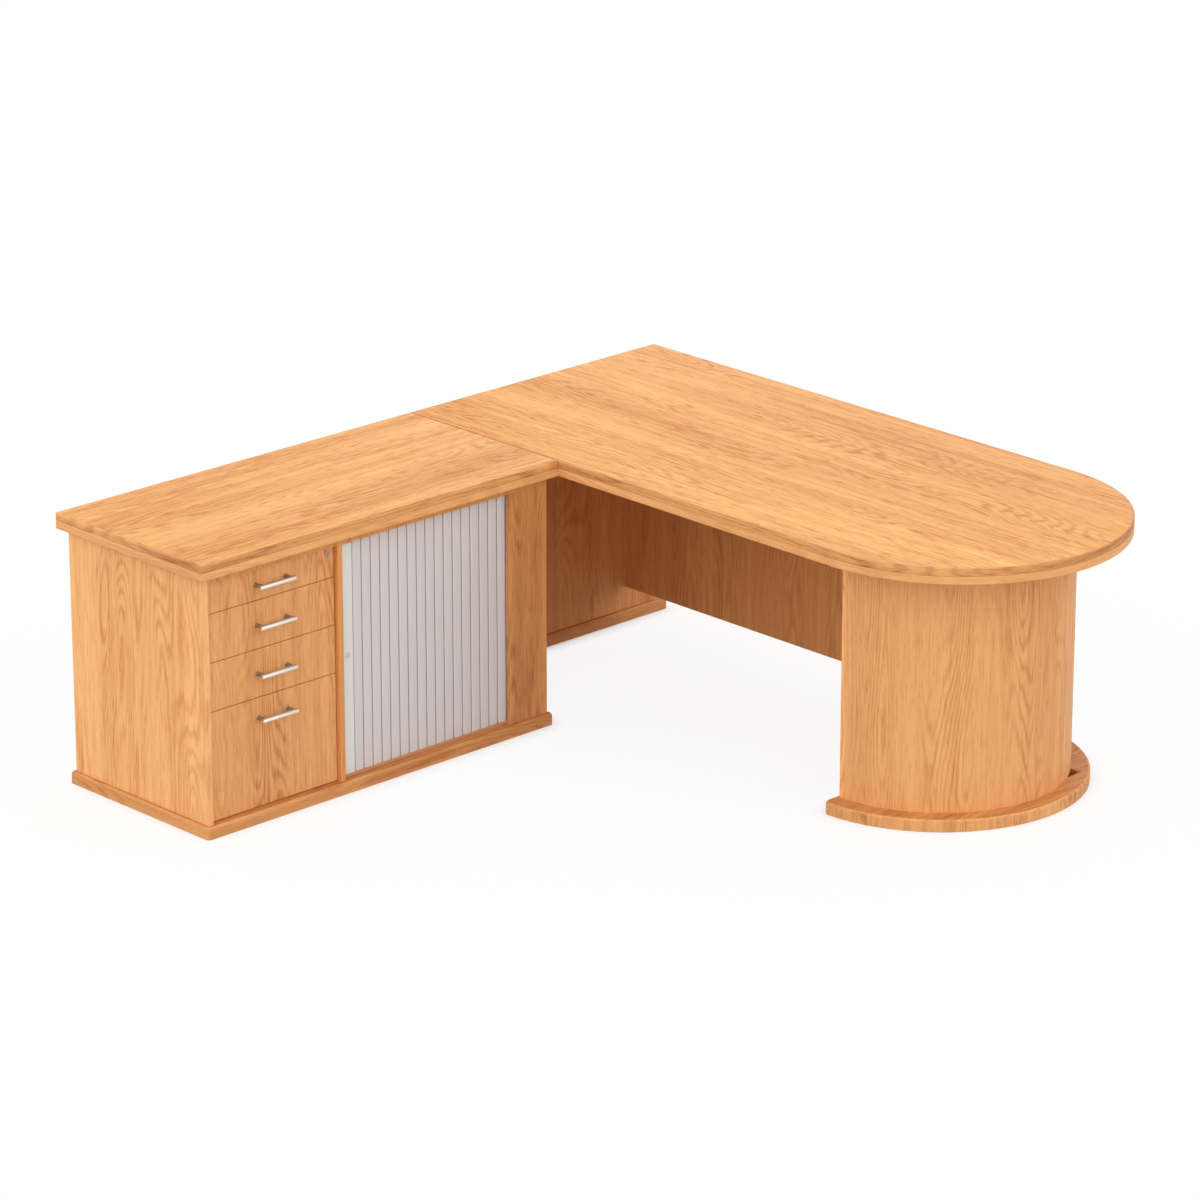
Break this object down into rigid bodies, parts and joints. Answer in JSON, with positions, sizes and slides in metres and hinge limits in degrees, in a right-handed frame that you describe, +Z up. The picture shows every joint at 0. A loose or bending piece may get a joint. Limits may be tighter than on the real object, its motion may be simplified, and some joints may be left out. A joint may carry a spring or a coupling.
{
  "type": "office desk",
  "caption": "L-shaped office desk: round-ended main worktop on a curved leg and a panel leg, with a storage return of drawers and a sideways roller-shutter cupboard.",
  "frame": {"origin": "on the floor, under the middle of the box around the whole desk", "axes": "+X along the main worktop towards its rounded end, which is the way the drawers open; +Y from the user's side to the visitor's side; +Z up"},
  "size_m": [1.9998, 2.1, 0.73],
  "materials": {
    "oak_top": "satin light-oak woodgrain laminate, grain along each worktop",
    "oak_panel": "satin light-oak woodgrain laminate, upright grain",
    "oak_front": "satin light-oak woodgrain laminate, upright grain",
    "oak_foot": "satin light-oak woodgrain foil, grain along each board",
    "drawer_board": "matt pale grey faced board",
    "curtain_grey": "finely reeded light grey plastic slats",
    "stile_grey": "smooth light grey plastic",
    "track_plastic": "smooth brown-grey plastic",
    "satin_nickel": "satin nickel",
    "lock_chrome": "bright plated",
    "zinc_steel": "zinc plated"
  },
  "bodies": {
    "desk": {"main_top_upper": "oak_top", "main_top_lower": "oak_top", "return_top_upper": "oak_top", "return_top_lower": "oak_top", "gable_panel": "oak_panel", "gable_plinth": "oak_foot", "modesty_panel": "oak_panel", "d_leg_inner_panel": "oak_panel", "d_leg_curved_panel": "oak_panel", "d_leg_formers": "drawer_board", "d_leg_plinth": "oak_foot", "outer_end_panel": "oak_panel", "inner_end_panel": "oak_panel", "divider_panel": "oak_panel", "back_panel": "oak_panel", "cabinet_top": "oak_panel", "filler_panel": "oak_panel", "top_brackets": "zinc_steel", "joining_plates": "zinc_steel", "return_plinth_front": "oak_foot", "return_plinth_back": "oak_foot", "return_plinth_outer_end": "oak_foot", "return_plinth_inner_end": "oak_foot", "drawer_bay_bottom": "oak_panel", "cupboard_bottom": "oak_panel", "cupboard_liner": "oak_panel", "cupboard_shelf": "oak_panel", "shelf_clips": "zinc_steel", "shutter_bottom_track": "track_plastic", "shutter_top_track": "track_plastic", "shutter_slats": "curtain_grey", "cabinet_runners": "zinc_steel"},
    "shutter_lock": {"shutter_lock_plug": "lock_chrome"},
    "drawer_lock": {"drawer_lock_plug": "lock_chrome"},
    "shutter": {"shutter_stile": "stile_grey", "shutter_lock_barrel": "lock_chrome"},
    "drawer_1": {"drawer_lock_barrel": "lock_chrome", "drawer_1_front": "oak_front", "drawer_1_walls": "drawer_board", "drawer_1_base": "drawer_board", "drawer_1_handle": "satin_nickel", "drawer_1_runners": "zinc_steel"},
    "drawer_2": {"drawer_2_front": "oak_front", "drawer_2_walls": "drawer_board", "drawer_2_base": "drawer_board", "drawer_2_handle": "satin_nickel", "drawer_2_runners": "zinc_steel"},
    "drawer_3": {"drawer_3_front": "oak_front", "drawer_3_walls": "drawer_board", "drawer_3_base": "drawer_board", "drawer_3_handle": "satin_nickel", "drawer_3_runners": "zinc_steel"},
    "drawer_4": {"drawer_4_front": "oak_front", "drawer_4_walls": "drawer_board", "drawer_4_base": "drawer_board", "drawer_4_handle": "satin_nickel", "drawer_4_runners": "zinc_steel"}
  },
  "joints": [
    {"name": "drawer_1_slide", "type": "slide", "parent": "desk", "child": "drawer_1", "axis": [1, 0, 0], "range_m": [0, 0.34]},
    {"name": "drawer_2_slide", "type": "slide", "parent": "desk", "child": "drawer_2", "axis": [1, 0, 0], "range_m": [0, 0.34]},
    {"name": "drawer_3_slide", "type": "slide", "parent": "desk", "child": "drawer_3", "axis": [1, 0, 0], "range_m": [0, 0.34]},
    {"name": "drawer_4_slide", "type": "slide", "parent": "desk", "child": "drawer_4", "axis": [1, 0, 0], "range_m": [0, 0.34]},
    {"name": "shutter_slide", "type": "slide", "parent": "desk", "child": "shutter", "axis": [0, 1, 0], "range_m": [0, 0.515], "deforming": ["shutter_slats"]},
    {"name": "drawer_lock_turn", "type": "hinge", "parent": "drawer_1", "child": "drawer_lock", "pos_m": [-0.465, -0.613, 0.6476], "axis": [-1, 0, 0], "range_deg": [0, 90]},
    {"name": "shutter_lock_turn", "type": "hinge", "parent": "shutter", "child": "shutter_lock", "pos_m": [-0.467, -0.548, 0.36], "axis": [1, 0, 0], "range_deg": [0, 90]}
  ]
}
